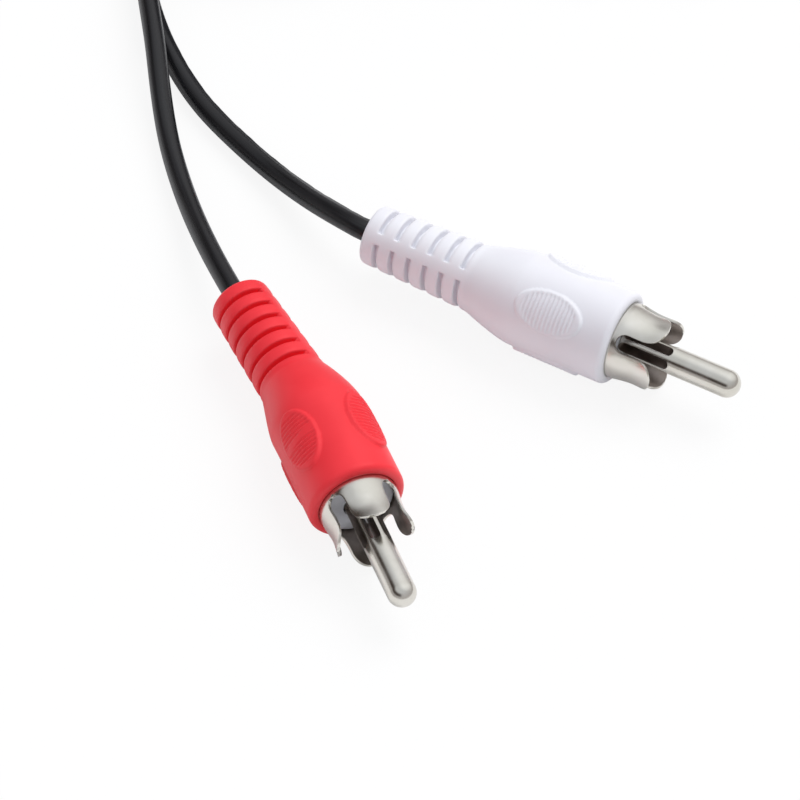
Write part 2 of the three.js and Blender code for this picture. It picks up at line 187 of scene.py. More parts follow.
# Insulators
# A grey plastic disc in each ground shell holds the pin in the middle and closes the mouth.
# The plugs lie on their barrels, and the near red one's soft boot lies flexed to one side.
INSULATOR_FRONT = 0.2
INSULATOR_REAR = -4.05
INSULATOR_RADIUS = 4.0
INSULATOR_HOLE = 1.75
INSULATOR_EDGE = 0.25
INSULATOR_SIDES = 64
SHARP_ANGLE = np.radians(40)
FLEX = {"near_red": 0.11}
FLEX_START = -9.0
FLEX_END = -17.0
mounts = {mount["name"]: mount for mount in frame["record"]["mounts"]}


def plug_axes(plug):
    """A plug's mouth, at half its boot's height, and the way its pin points."""
    mount = mounts[plug + "_plug_face"]
    low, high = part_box(plug + "_boot")
    mouth = np.array([*mount["pos_m"][:2], (low[2] + high[2]) / 2]) / METRES
    return mouth, np.array(mount["axis"], float)


def flexed(x, left, angle):
    """Bends a plug's frame to its right: its line follows a circle from the flex's start until it
    has turned by the angle at the flex's end, and goes straight on behind that."""
    if angle == 0:
        return x, left
    radius = (FLEX_START - FLEX_END) / angle
    turn = np.clip((FLEX_START - x) / radius, 0, angle)
    straight = np.minimum(0, x - FLEX_END)
    front = np.maximum(x, FLEX_START)
    return (front - np.sin(turn) * (radius + left) + np.cos(turn) * straight,
            np.cos(turn) * (radius + left) - radius + np.sin(turn) * straight)


def at_plug(points, plug, roll):
    """Points of a plug's own frame, rolled about x, flexed, turned to its heading and moved to
    its mouth."""
    mouth, ahead = plug_axes(plug)
    leftwards = np.array([-ahead[1], ahead[0], 0])
    x, y, z = np.moveaxis(points, -1, 0)
    left = y * np.cos(roll) - z * np.sin(roll)
    up = y * np.sin(roll) + z * np.cos(roll)
    x, left = flexed(x, left, FLEX.get(plug, 0))
    upwards = np.array([0, 0, 1])
    return mouth + x[..., None] * ahead + left[..., None] * leftwards + up[..., None] * upwards


def woven(rows, columns, rows_closed, columns_closed):
    """Corner numbers of the four-sided faces between neighbouring rows and columns of a grid."""
    row = np.arange(rows if rows_closed else rows - 1)[:, None]
    column = np.arange(columns if columns_closed else columns - 1)[None, :]
    next_row = (row + 1) % rows
    next_column = (column + 1) % columns
    corners = [row * columns + column, row * columns + next_column,
               next_row * columns + next_column, next_row * columns + column]
    return np.stack(np.broadcast_arrays(*corners), axis=-1).reshape(-1, 4)


def piece(name, points, faces, material):
    """A new smooth mesh object from points in millimetres, riding on the lead."""
    mesh = bpy.data.meshes.new(name)
    mesh.from_pydata((points.reshape(-1, 3) * METRES).tolist(), [], faces)
    mesh.shade_smooth()
    mesh.materials.append(material)
    made = bpy.data.objects.new(name, mesh)
    bpy.context.scene.collection.objects.link(made)
    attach(made, "root")
    return made


def even_angles(count):
    """Angles evenly round a whole turn."""
    return np.linspace(0, 2 * np.pi, count, endpoint=False)


def carried_round(x, radius, angle):
    """Points at x, with y and z the radius times the sine and the cosine of the angle."""
    return np.stack(np.broadcast_arrays(x, radius * np.sin(angle), radius * np.cos(angle)), axis=-1)


def quarter(x, radius, size, start, end, count=6):
    """Points of an arc about (x, radius), from one angle to another in quarter turns."""
    angle = np.linspace(start, end, count) * np.pi / 2
    return np.stack([x + size * np.cos(angle), radius + size * np.sin(angle)], axis=-1)


def grey_plastic():
    """Matt mid-grey plastic with faint clouds."""
    material, shader, nodes, links = new_material("grey_plastic", (0.7, 0.72, 0.76), roughness=0.5)
    clouds = noise(nodes, links, object_place(nodes), scale=900)
    tinted(nodes, links, shader, clouds, (0.66, 0.68, 0.72), (0.74, 0.76, 0.8))
    bumped(nodes, links, shader, clouds, distance=0.00002, strength=0.4)
    return material


insulator_outline = np.concatenate([
    [[INSULATOR_FRONT, INSULATOR_HOLE]],
    quarter(INSULATOR_FRONT - INSULATOR_EDGE, INSULATOR_RADIUS - INSULATOR_EDGE, INSULATOR_EDGE,
            start=0, end=1),
    [[INSULATOR_REAR, INSULATOR_RADIUS], [INSULATOR_REAR, INSULATOR_HOLE]],
])
insulator_points = carried_round(insulator_outline[:, :1], insulator_outline[:, 1:],
                                 even_angles(INSULATOR_SIDES))
insulator_faces = woven(len(insulator_outline), INSULATOR_SIDES, True, True).tolist()
grey_plastic_material = grey_plastic()
for plug in PLUG_NAMES:
    insulator = piece(plug + "_insulator_disc", at_plug(insulator_points, plug, 0), insulator_faces,
                      grey_plastic_material)
    insulator.data.set_sharp_from_angle(angle=SHARP_ANGLE)
    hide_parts(plug + "_insulator")


# Ground shells
# Each is rolled from thin sheet and plated. Four round-ended slots part its mouth into petals,
# which pinch in and flare again so that they grip a jack's collar. A strip runs back inside.
SHELL_RADIUS = 4.45
SHEET = 0.3
PETAL_LENGTH = 5.4
PETAL_PINCH = 0.25
PINCH_REACH = 0.92
PINCH_POWER = 1.5
SLOT_WIDTH = 2.2
SLOT_START = 0.6
PETAL_END = 2.4
TIP_ALONG_POWER = 2.6
TIP_ACROSS_POWER = 2.2
SLEEVE_REAR = -5.1
STRIP_REAR = -10.4
STRIP_ROWS = 5
STRIP_COLUMNS = 7
SLEEVE_ROWS = 8
SLOT_ROOT_ROWS = 9
PETAL_ROWS = 8
PETAL_TIP_ROWS = 17
PETAL_COLUMNS = 24
SHELL_EDGE = 0.07
CUT_EDGE_ANGLE = np.radians(50)


def lying_roll(plug):
    """How far a plug is rolled about its own line: an eighth of a turn, one way or the other."""
    return np.pi / 4 if plug.endswith("white") else -np.pi / 4


def petal_radius(x):
    """The shell's radius less a pinch times a power of a sine, which dips smoothly along the petal
    and has nearly come back at its tip."""
    along = np.clip((x - SLOT_START) / (PETAL_LENGTH - SLOT_START), 0, 1)
    return SHELL_RADIUS - PETAL_PINCH * np.sin(np.pi * (along * PINCH_REACH)) ** PINCH_POWER


def petal_half_angle(x):
    """Half a petal's angle: an eighth of a turn less half a slot, whose root is a half circle,
    and down to nothing at the tip as the end of a full oval."""
    half_slot = SLOT_WIDTH / 2
    into_slot = np.clip(x - SLOT_START, 0, half_slot)
    slot = np.sqrt(half_slot ** 2 - (half_slot - into_slot) ** 2) / SHELL_RADIUS
    to_tip = np.clip((x - (PETAL_LENGTH - PETAL_END)) / PETAL_END, 0, 1)
    return (np.pi / 4 - slot) * (1 - to_tip ** TIP_ALONG_POWER) ** (1 / TIP_ACROSS_POWER)


def merged(points, faces):
    """The same sheet with points that coincide made one, and faces without repeated corners."""
    snapped = np.round(points.reshape(-1, 3), decimals=5)
    kept, numbers = np.unique(snapped, axis=0, return_inverse=True)
    corners = numbers.reshape(-1)[faces].tolist()
    outlines = [list(dict.fromkeys(face)) for face in corners]
    return kept, [outline for outline in outlines if len(outline) > 2]


def shell_sheet():
    """Rows of x by four petals' columns. A column's angle is its petal's middle plus its share of
    the petal's half angle, and its radius is the petal's at that x."""
    root_angle = np.linspace(0, np.pi / 2, SLOT_ROOT_ROWS)
    root = SLOT_START + SLOT_WIDTH / 2 * (1 - np.cos(root_angle))
    tip_angle = np.linspace(0, np.pi / 2, PETAL_TIP_ROWS)
    tip = PETAL_LENGTH - PETAL_END * (1 - np.sin(tip_angle))
    x = np.concatenate([np.linspace(STRIP_REAR, SLEEVE_REAR, STRIP_ROWS + 1)[:-1],
                        np.linspace(SLEEVE_REAR, 0, SLEEVE_ROWS), [SLOT_START / 2], root,
                        np.linspace(root[-1], tip[0], PETAL_ROWS)[1:-1], tip])[:, None, None]
    share = np.linspace(-1, 1, PETAL_COLUMNS + 1)[None, None, :]
    middle = (np.pi / 4 + np.arange(4) * np.pi / 2)[None, :, None]
    points = carried_round(x, petal_radius(x), middle + petal_half_angle(x) * share)
    columns = 4 * (PETAL_COLUMNS + 1)
    grid = woven(len(x), columns, False, False)
    row, column = grid[:, 0] // columns, grid[:, 0] % columns
    slot = column % (PETAL_COLUMNS + 1) == PETAL_COLUMNS
    strip = (column < STRIP_COLUMNS) | (column >= columns - 1 - STRIP_COLUMNS)
    return merged(points, grid[~slot & (strip | (row >= STRIP_ROWS))][:, ::-1])


def thickened(made, thickness, inside):
    """Gives an open sheet its thickness inwards, with a second material on its inner faces; here that is
    the darker plate that paints their shade.
    """
    made.data.materials.append(inside)
    wall = made.modifiers.new("wall", "SOLIDIFY")
    wall.thickness = thickness * METRES
    wall.offset = -1
    wall.use_even_offset = True
    wall.material_offset = 1
    return wall


def rounded(made, edge):
    """Rounds a piece's cut edges."""
    rounding = made.modifiers.new("edges", "BEVEL")
    rounding.width = edge * METRES
    rounding.segments = 2
    rounding.limit_method = "ANGLE"
    rounding.angle_limit = CUT_EDGE_ANGLE
    shading = made.modifiers.new("shading", "WEIGHTED_NORMAL")
    shading.keep_sharp = True


def nickel():
    """Bright plate with fine drawn lines, a few dull clouds and a warm cast."""
    material, shader, nodes, links = new_material("nickel_plate", (0.7, 0.68, 0.62),
                                                  roughness=0.2, metallic=1.0)
    place = object_place(nodes)
    clouds = noise(nodes, links, place, scale=350)
    lines = noise(nodes, links, place, scale=4000, detail=6)
    tinted(nodes, links, shader, clouds, (0.66, 0.64, 0.575), (0.74, 0.72, 0.665))
    links.new(between(nodes, links, clouds, 0.17, 0.26), shader.inputs["Roughness"])
    bumped(nodes, links, shader, lines, distance=0.000004, strength=0.35)
    return material


def painted_shade_nickel():
    """The plating inside a rolled piece: dull, and darkened to brown as painted shade for the inside,
    which sees little light.
    """
    material, shader, nodes, links = new_material("painted_shade_nickel", (0.36, 0.32, 0.29),
                                                  roughness=0.36, metallic=1.0)
    clouds = noise(nodes, links, object_place(nodes), scale=500)
    tinted(nodes, links, shader, clouds, (0.31, 0.27, 0.24), (0.43, 0.38, 0.35))
    links.new(between(nodes, links, clouds, 0.3, 0.44), shader.inputs["Roughness"])
    return material


nickel_material = nickel()
# A darker copy of the plate, painted shade for the inner faces of the shells and pins.
painted_shade_nickel_material = painted_shade_nickel()
shell_points, shell_faces = shell_sheet()
for plug in PLUG_NAMES:
    shell = piece(plug + "_petal_shell", at_plug(shell_points, plug, lying_roll(plug)), shell_faces,
                  nickel_material)
    # Its inner faces take the darker plate: painted shade.
    thickened(shell, SHEET, painted_shade_nickel_material)
    rounded(shell, SHELL_EDGE)
    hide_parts(plug + "_ground_shell")


# Centre pins
# Each is a plated tube with a round tip, six lengthwise windows that let it give in its socket,
# and a solder cup behind the insulator.
PIN_RADIUS = 1.6
PIN_LENGTH = 14.5
PIN_WALL = 1.25
CUP_RADIUS = 1.0
CUP_WALL = 0.45
CUP_REAR = -7.2
PIN_SHOULDER = -4.2
WINDOW_COUNT = 6
WINDOW_WIDTH = 1.2
WINDOW_START = 0.2
WINDOW_END = 6.3
WINDOW_TURN = np.radians(10)
CUP_ROWS = [CUP_REAR, -5.5, PIN_SHOULDER]
PIN_REAR_ROWS = [PIN_SHOULDER, -2.5, -0.5]
WINDOW_ROWS = [1.2, 1.9, 2.6, 3.3, 4.0, 4.7, 5.4]
WINDOW_END_ROWS = 7
PIN_FRONT_ROWS = [7.2, 8.6, 10, 11.4]
PIN_TIP_ROWS = 13
RIB_COLUMNS = 8


def window_half_angle(x):
    """Half a window's angle at x: half its width over the pin's radius, with half-round ends."""
    half = WINDOW_WIDTH / 2
    from_end = np.clip(np.minimum(x - WINDOW_START, WINDOW_END - x), 0, half)
    return np.arcsin(np.sqrt(half ** 2 - (half - from_end) ** 2) / PIN_RADIUS)


def pin_sheet():
    """Rows of x and radius from the cup to the tip's pole, by six ribs' columns. A column's angle
    is its rib's middle plus its share of the half angle that the windows leave."""
    into_end = WINDOW_WIDTH / 2 * (1 - np.cos(np.linspace(0, np.pi / 2, WINDOW_END_ROWS)))
    tip = np.linspace(np.pi / 2, 0, PIN_TIP_ROWS)
    x = np.concatenate([CUP_ROWS, PIN_REAR_ROWS, WINDOW_START + into_end, WINDOW_ROWS,
                        WINDOW_END - into_end[::-1], PIN_FRONT_ROWS,
                        PIN_LENGTH - PIN_RADIUS + PIN_RADIUS * np.cos(tip)])
    radius = np.full(len(x), PIN_RADIUS)
    radius[:len(CUP_ROWS)] = CUP_RADIUS
    radius[-len(tip):] = PIN_RADIUS * np.sin(tip)
    share = np.linspace(-1, 1, RIB_COLUMNS + 1)[None, None, :]
    middle = ((np.arange(WINDOW_COUNT) + 0.5) * 2 * np.pi / WINDOW_COUNT)[None, :, None]
    half_angle = (np.pi / WINDOW_COUNT - window_half_angle(x))[:, None, None]
    points = carried_round(x[:, None, None], radius[:, None, None], middle + half_angle * share)
    columns = WINDOW_COUNT * (RIB_COLUMNS + 1)
    grid = woven(len(x), columns, False, False)
    window = grid[:, 0] % columns % (RIB_COLUMNS + 1) == RIB_COLUMNS
    return merged(points, grid[~window][:, ::-1])


def settled(made, sharp_angle):
    """Makes what the modifiers give the piece's own mesh, and keeps its sharp edges crisp."""
    finished = made.evaluated_get(bpy.context.evaluated_depsgraph_get())
    sheet = made.data
    made.data = bpy.data.meshes.new_from_object(finished)
    made.data.name = made.name
    made.data.set_sharp_from_angle(angle=sharp_angle)
    made.modifiers.clear()
    bpy.data.meshes.remove(sheet)


pin_points, pin_faces = pin_sheet()
from_axis = np.hypot(pin_points[:, 1], pin_points[:, 2])
in_cup = (pin_points[:, 0] < 0) & (from_axis < (CUP_RADIUS + PIN_RADIUS) / 2)
for plug in PLUG_NAMES:
    pin = piece(plug + "_windowed_pin", at_plug(pin_points, plug, WINDOW_TURN), pin_faces,
                nickel_material)
    wall = thickened(pin, PIN_WALL, painted_shade_nickel_material)
    # The windows' cut walls take the darker inner plate too, as painted shade.
    wall.material_offset_rim = 1
    share_of_wall = pin.vertex_groups.new(name="share_of_wall")
    share_of_wall.add(np.flatnonzero(~in_cup).tolist(), 1.0, "REPLACE")
    share_of_wall.add(np.flatnonzero(in_cup).tolist(), CUP_WALL / PIN_WALL, "REPLACE")
    wall.vertex_group = share_of_wall.name
    settled(pin, SHARP_ANGLE)
    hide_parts(plug + "_centre_pin")


# Boots
# Soft plastic is moulded over each plug in one shot: a barrel with four ribbed grip pads, a
# shoulder, and a strain relief whose rings are crossed by two ribs on the mould's parting plane.
BARREL_RADIUS = 5.5
BARREL_LENGTH = 12.0
SHOULDER_LENGTH = 6.2
RELIEF_LENGTH = 13.9
RELIEF_START_RADIUS = 4.0
RELIEF_END_RADIUS = 3.5
BOOT_LENGTH = BARREL_LENGTH + SHOULDER_LENGTH + RELIEF_LENGTH
MOUTH_RADIUS = 4.6
MOUTH_GRIP = 4.47
MOUTH_DEPTH = 10.7
MOUTH_EDGE_DEPTH = 0.1
MOUTH_EDGE_FLARE = 0.07
GRIP_REAR = -1.0
GRIP_STEP_REAR = -2.0
MOULD_HOLE = 3.5
MOULD_DEPTH = 16.55
CORD_HOLE = 1.4
CORD_HOLE_FLARE = 0.6
CORD_HOLE_EDGE = 0.12
LIP_ROUND = 0.75
TAIL_ROUND = 0.5
GROOVE_COUNT = 6
GROOVE_PITCH = 2.15
GROOVE_HALF_WIDTH = 0.3
GROOVE_DEPTH = 0.9
GROOVE_WALL = 0.08
GROOVE_START = 1.1
FIRST_GROOVE = -BARREL_LENGTH - SHOULDER_LENGTH - GROOVE_START
RING_EDGE_DEPTH = 0.09
RING_EDGE_REACH = 0.62
RING_EDGE_SLOPE = 0.3
RIB_HALF_WIDTH = 0.7
RIB_WALL = 0.12
PAD_MIDDLE = -7.5
PAD_HALF_LENGTH = 4.2
PAD_HALF_WIDTH = 2.5
PAD_HEIGHT = 0.3
PAD_WALL = 0.07
PAD_MARGIN = 0.3
PAD_RIB_PITCH = 0.5
PAD_RIB_DEPTH = 0.12
RIBBED_SHARE = 0.84
RIBBED_WALL = 0.08
BAND_HALF_WIDTH = 0.35
BAND_WALL = 0.15
BAND_SLANT = 0.2
BARREL_FRONT_ROWS = 10
PAD_ROW_STEP = 0.075
SHOULDER_ROWS = 26
GROOVE_ROWS = np.array([0.12, 0.25, 0.28, 0.31, 0.34, 0.42, 0.55, 0.75])
HOLLOW_ROWS = [-14.5, -12.5]
BOOT_COLUMNS = 180
PLASTIC_SPECULAR = 0.43
groove_middles = FIRST_GROOVE - GROOVE_PITCH * np.arange(GROOVE_COUNT)


def step(value):
    """0 below 0, 1 above 1, and a smooth rise with level ends between them."""
    held = np.clip(value, 0, 1)
    return held * held * (3 - 2 * held)


def boot_outline():
    """x, radius and whether outside: from the lip over the barrel, the shoulder and the relief to
    the tail, and forwards again through the cord's hole and the hollow to the mouth's inner edge."""
    pad_front = PAD_MIDDLE + PAD_HALF_LENGTH + PAD_MARGIN
    pad_rear = PAD_MIDDLE - PAD_HALF_LENGTH - PAD_MARGIN / 3
    barrel_x = np.concatenate([np.linspace(-LIP_ROUND, pad_front, BARREL_FRONT_ROWS)[1:-1],
                               np.arange(pad_front, pad_rear, -PAD_ROW_STEP)])
    barrel = np.stack([barrel_x, np.full(len(barrel_x), BARREL_RADIUS)], axis=-1)
    share = np.linspace(0, 1, SHOULDER_ROWS)
    shoulder_x = -BARREL_LENGTH - SHOULDER_LENGTH * (share * (1 - share) / 2 + share ** 2)
    shoulder_radius = BARREL_RADIUS + (RELIEF_START_RADIUS - BARREL_RADIUS) * share ** 2
    shoulder = np.stack([shoulder_x, shoulder_radius], axis=-1)
    relief_x = (groove_middles[:, None] + np.concatenate([GROOVE_ROWS[::-1], -GROOVE_ROWS])).reshape(-1)
    fall = (relief_x + BARREL_LENGTH + SHOULDER_LENGTH) / RELIEF_LENGTH
    relief_radius = RELIEF_START_RADIUS + (RELIEF_START_RADIUS - RELIEF_END_RADIUS) * fall
    relief = np.stack([relief_x, relief_radius], axis=-1)
    lip = quarter(-LIP_ROUND, BARREL_RADIUS - LIP_ROUND, LIP_ROUND, 0, 1, count=9)
    tail = quarter(TAIL_ROUND - BOOT_LENGTH, RELIEF_END_RADIUS - TAIL_ROUND, TAIL_ROUND, 1, 2)
    outside = np.concatenate([lip, barrel, shoulder, relief, tail])
    inside = np.array([
        [-BOOT_LENGTH, CORD_HOLE + CORD_HOLE_FLARE], [CORD_HOLE_EDGE - BOOT_LENGTH, CORD_HOLE],
        [FLEX_END, CORD_HOLE], [-MOULD_DEPTH, CORD_HOLE], [-MOULD_DEPTH, MOULD_HOLE],
        *[[x, MOULD_HOLE] for x in HOLLOW_ROWS], [-MOUTH_DEPTH, MOULD_HOLE],
        [-MOUTH_DEPTH, MOUTH_RADIUS], [GRIP_STEP_REAR, MOUTH_RADIUS], [GRIP_REAR, MOUTH_GRIP],
        [-MOUTH_EDGE_DEPTH, MOUTH_GRIP], [0, MOUTH_GRIP + MOUTH_EDGE_FLARE]])
    outline = np.concatenate([outside, inside])
    return outline[:, :1], outline[:, 1:], np.arange(len(outline))[:, None] < len(outside)


def groove_depth(x, radius, angle):
    """Deep between steep walls, a little round at the rings' edges, and nothing across the ribs."""
    off = np.min(np.abs(x[..., None] - groove_middles), axis=-1)
    walls = step((GROOVE_HALF_WIDTH + GROOVE_WALL / 2 - off) / GROOVE_WALL)
    edges = RING_EDGE_DEPTH * step((RING_EDGE_REACH - off) / RING_EDGE_SLOPE)
    aside = np.abs(radius * np.sin(angle))
    return (GROOVE_DEPTH * walls + edges) * step((aside - RIB_HALF_WIDTH) / RIB_WALL)


def pad_height(x, angle):
    """An oval raised a pad's height inside a smooth border, with ribs across its middle. Pads that
    face away from the parting plane have a smooth band between two groups of ribs."""
    quarter_turn = np.round(angle / (np.pi / 2))
    aside = (angle - quarter_turn * np.pi / 2) * BARREL_RADIUS
    along = x - PAD_MIDDLE
    out = np.hypot(along / PAD_HALF_LENGTH, aside / PAD_HALF_WIDTH)
    ribs = 0.5 + 0.5 * np.cos(2 * np.pi * along / PAD_RIB_PITCH)
    facing_away = quarter_turn % 2 == 1
    off_band = np.abs(along + BAND_SLANT * aside) - BAND_HALF_WIDTH
    band = np.where(facing_away, step(off_band / BAND_WALL), 1)
    inner = step((RIBBED_SHARE - out) / RIBBED_WALL) * band
    return PAD_HEIGHT * step((1.0 - out) / PAD_WALL) - PAD_RIB_DEPTH * inner * ribs


def boot_surface():
    """The outline carried round the boot's axis. On the outside the radius takes off the grooves
    and adds the pads."""
    x, radius, outside = boot_outline()
    angle = even_angles(BOOT_COLUMNS)[None, :]
    form = pad_height(x, angle) - groove_depth(x, radius, angle)
    points = carried_round(x, radius + np.where(outside, form, 0), angle)
    return points, woven(len(x), BOOT_COLUMNS, True, True).tolist()


def moulded(name, colour, deeper, roughness):
    """Satin moulded plastic: faint flow clouds, a fine spark-eroded grain and even gloss."""
    material, shader, nodes, links = new_material(name, colour, roughness)
    shader.inputs["Specular IOR Level"].default_value = PLASTIC_SPECULAR
    place = object_place(nodes)
    clouds = noise(nodes, links, place, scale=160)
    grain = noise(nodes, links, place, scale=9000, detail=2)
    tinted(nodes, links, shader, clouds, deeper, colour)
    gloss = between(nodes, links, clouds, roughness - 0.03, roughness + 0.04)
    links.new(gloss, shader.inputs["Roughness"])
    bumped(nodes, links, shader, grain, distance=0.000008, strength=0.3)
    return material


moulded_plastic = {
    "white": moulded("white_plastic", (0.84, 0.845, 0.89), (0.815, 0.815, 0.865), 0.42),
    "red": moulded("red_plastic", (0.88, 0.032, 0.045), (0.83, 0.025, 0.037), 0.4),
}
boot_points, boot_faces = boot_surface()
for plug in PLUG_NAMES:
    colour = plug.split("_")[1]
    boot = piece(plug + "_moulded_boot", at_plug(boot_points, plug, lying_roll(plug)), boot_faces,
                 moulded_plastic[colour])
    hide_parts(plug + "_boot")


# Wire tie
# A flat plastic strip with a soft wire down its middle. It goes once round the coil, and its
# two ends are twisted together.
COIL_MIDDLE = np.array([-21.4, 97.1])
TIE_ANGLE = -0.6
TIE_WIDTH = 3.2
TIE_EDGE = 0.2
TIE_WIRE = 0.15
TIE_CORNER = 1.5
TIE_INSIDE = 8.4
TIE_OUTSIDE = 21.0
TIE_TOP = 11.8
TIE_BOTTOM = 0.35
WIRE_HALF_WIDTH = 0.45
STRIP_EDGE_POWER = 0.8
STRIP_FACE_POWER = 0.5
CORNER_ROWS = 7
LOOP_SIDES = 28
STEM_LENGTH = 7.8
STEM_HALF_WIDTH = 0.8
STEM_HALF_DEPTH = 0.5
STEM_TWIST = 2.5 * np.pi
STEM_POWER = 0.7
STEM_END_POWER = 14
STEM_FULL_UNTIL = 0.47
STEM_END = 0.9995
WAIST_DEPTH = 0.25
WAIST_POWER = 6
STEM_ROWS = 60
STEM_SIDES = 32


def at_tie(points):
    """Points along, across and above the coil's radius at the tie, turned to its angle."""
    along, across, above = np.moveaxis(points, -1, 0)
    cosine, sine = np.cos(TIE_ANGLE), np.sin(TIE_ANGLE)
    return np.stack([COIL_MIDDLE[0] + along * cosine - across * sine,
                     COIL_MIDDLE[1] + along * sine + across * cosine, above], axis=-1)


def flattened(value, power):
    """A sine or cosine with its size raised to a power, which squares a round section's corners."""
    return np.sign(value) * np.abs(value) ** power


def tie_loop():
    """A thin oval section, thicker at the wire, carried round a rectangle with round corners."""
    left, right = TIE_INSIDE + TIE_CORNER, TIE_OUTSIDE - TIE_CORNER
    bottom, top = TIE_BOTTOM + TIE_CORNER, TIE_TOP - TIE_CORNER
    corners = [(right, top), (left, top), (left, bottom), (right, bottom)]
    quarters = [np.linspace(turn, turn + 1, CORNER_ROWS) for turn in range(4)]
    angle = np.concatenate(quarters) * np.pi / 2
    out = np.stack([np.cos(angle), np.sin(angle)], axis=-1)
    line = np.repeat(corners, CORNER_ROWS, axis=0) + TIE_CORNER * out
    around = even_angles(LOOP_SIDES)
    across = flattened(np.cos(around), STRIP_EDGE_POWER) * TIE_WIDTH / 2
    thick = (TIE_EDGE * flattened(np.sin(around), STRIP_FACE_POWER)
             + TIE_WIRE * np.sin(around) * np.exp(-(across / WIRE_HALF_WIDTH) ** 2))
    reach = line[:, None, 0] + out[:, None, 0] * thick
    height = line[:, None, 1] + out[:, None, 1] * thick
    points = np.stack(np.broadcast_arrays(reach, across[None, :], height), axis=-1)
    return points.reshape(-1, 3), woven(len(line), LOOP_SIDES, True, True)


def tie_stem():
    """The section of two strips side by side, turned evenly along the stem, which keeps its size
    until near its end and closes there as a blunt oval."""
    along = np.linspace(0, 1, STEM_ROWS)[:, None]
    around = even_angles(STEM_SIDES)[None, :]
    turn = STEM_TWIST * along
    to_end = 2 * np.clip(along, STEM_FULL_UNTIL, STEM_END) - 1
    size = np.sqrt(1 - to_end ** STEM_END_POWER)
    waist = 1 - WAIST_DEPTH * np.abs(np.cos(around)) ** WAIST_POWER
    wide = STEM_HALF_WIDTH * flattened(np.cos(around), STEM_POWER) * size
    deep = STEM_HALF_DEPTH * flattened(np.sin(around), STEM_POWER) * waist * size
    across = wide * np.cos(turn) - deep * np.sin(turn)
    above = wide * np.sin(turn) + deep * np.cos(turn) + (TIE_TOP + TIE_BOTTOM) / 2
    reach = (TIE_OUTSIDE + STEM_LENGTH * along) * np.ones_like(across)
    points = np.stack([reach, across, above], axis=-1)
    return points.reshape(-1, 3), woven(STEM_ROWS, STEM_SIDES, False, True)


def tie_plastic():
    """Glossy black plastic, a little cloudy."""
    material, shader, nodes, links = new_material("tie_plastic", (0.02, 0.02, 0.022), roughness=0.3)
    clouds = noise(nodes, links, object_place(nodes), scale=700)
    tinted(nodes, links, shader, clouds, (0.016, 0.016, 0.018), (0.026, 0.026, 0.028))
    links.new(between(nodes, links, clouds, 0.26, 0.4), shader.inputs["Roughness"])
    return material


loop_points, loop_faces = tie_loop()
stem_points, stem_faces = tie_stem()
stem_start = len(loop_points)
stem_end = stem_start + len(stem_points)
tie_faces = loop_faces[:, ::-1].tolist() + (stem_faces + stem_start)[:, ::-1].tolist()
tie_faces.append(list(range(stem_start, stem_start + STEM_SIDES)))
tie_faces.append(list(range(stem_end - 1, stem_end - STEM_SIDES - 1, -1)))
tie = piece("wire_tie", at_tie(np.concatenate([loop_points, stem_points])), tie_faces,
            tie_plastic())
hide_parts("coil_tie")


# Cords
# Two screened cords are extruded side by side as a twin, joined by a thin web. The web is torn
# to part them at both ends. The spare length is wound into a coil of two layers.
CORD_RADIUS = 1.25
CORD_SPACING = 1.0
CORD_COLUMNS = 30
CORD_COLUMNS_POWER = 1.4
EASING_PASSES = 8
NEAR_STRAIGHT = 1.5
FAR_STRAIGHT = 3.0
WEB_HEIGHT = 0.16
WEB_HALF_WIDTH = 0.17
TORN_HEIGHT = 0.09
TORN_LENGTH = 55.0
TEAR_LENGTH = 8.0
RAGGED_SHARE = 0.35
RAGGED_WAVES = [1.9, 0.83]
TURN_PITCH = 2.6
COIL_RADIUS = 20.15
LAYER_TURNS = 4
LAYER_HEIGHT = 5.3
PAST_TURNS = 0.25
DIP_DEPTH = 1.1
DIP_MIDDLE = 3.85
DIP_TURNS = 0.9
CLIMB_START = 3.6
CLIMB_TURNS = 0.45
TIE_HUMP = 0.76
HUMP_TOP = 2.2
HUMP_SLOPE = 5.0
POINTS_A_TURN = 24
POINTS_A_STRETCH = 24
STRAND_HEIGHT = {"white": 1.27, "red": 4.05}
WEB_SIDE = {"white": 0.0, "red": np.pi}
TORN_TURN = {"white": 0.9, "red": -0.9}
JACKET_SPECULAR = 0.42
near_route = {
    "red": [(-30.1, 24, 4.2), (-33, 33.2, 2.5), (-35.3, 42, 2), (-36.3, 47.3, 2.3), (-37, 52, 3.1),
            (-37.7, 57.6, 4), (-38.9, 65.4, 4.05), (-40.4, 76, 4.05), (-41.4, 87, 4.05)],
    "white": [(-15.4, 28.5, 4.9), (-18.6, 32.4, 3.5), (-23.2, 38.4, 1.9), (-27.8, 44.3, 1.4),
              (-32, 50.2, 1.3), (-35.6, 57.4, 1.3), (-38.5, 65.8, 1.3), (-40.4, 76, 1.3),
              (-41.4, 87, 1.3)],
}
far_route = {
    "red": [(-11.6, 117.2, 9.3), (-5.8, 119.6, 7.5), (-1.6, 125.2, 5.3), (3.2, 131.8, 2.9),
            (10, 136.4, 1.5), (18.2, 138, 1.3), (25.4, 135.8, 2.2), (29.4, 130.4, 4)],
    "white": [(-11.6, 117.2, 6.4), (-5.6, 118, 4.1), (0, 122, 2.3), (4.8, 128.8, 1.3),
              (8.1, 131.5, 1.3), (12.1, 131.7, 1.9), (15.4, 129.2, 3.4), (16.6, 125.4, 4.9)],
}


def behind(plug, distance):
    """The point of a plug's middle line that far behind its boot."""
    return at_plug(np.array([-BOOT_LENGTH - distance, 0, 0]), plug, 0)


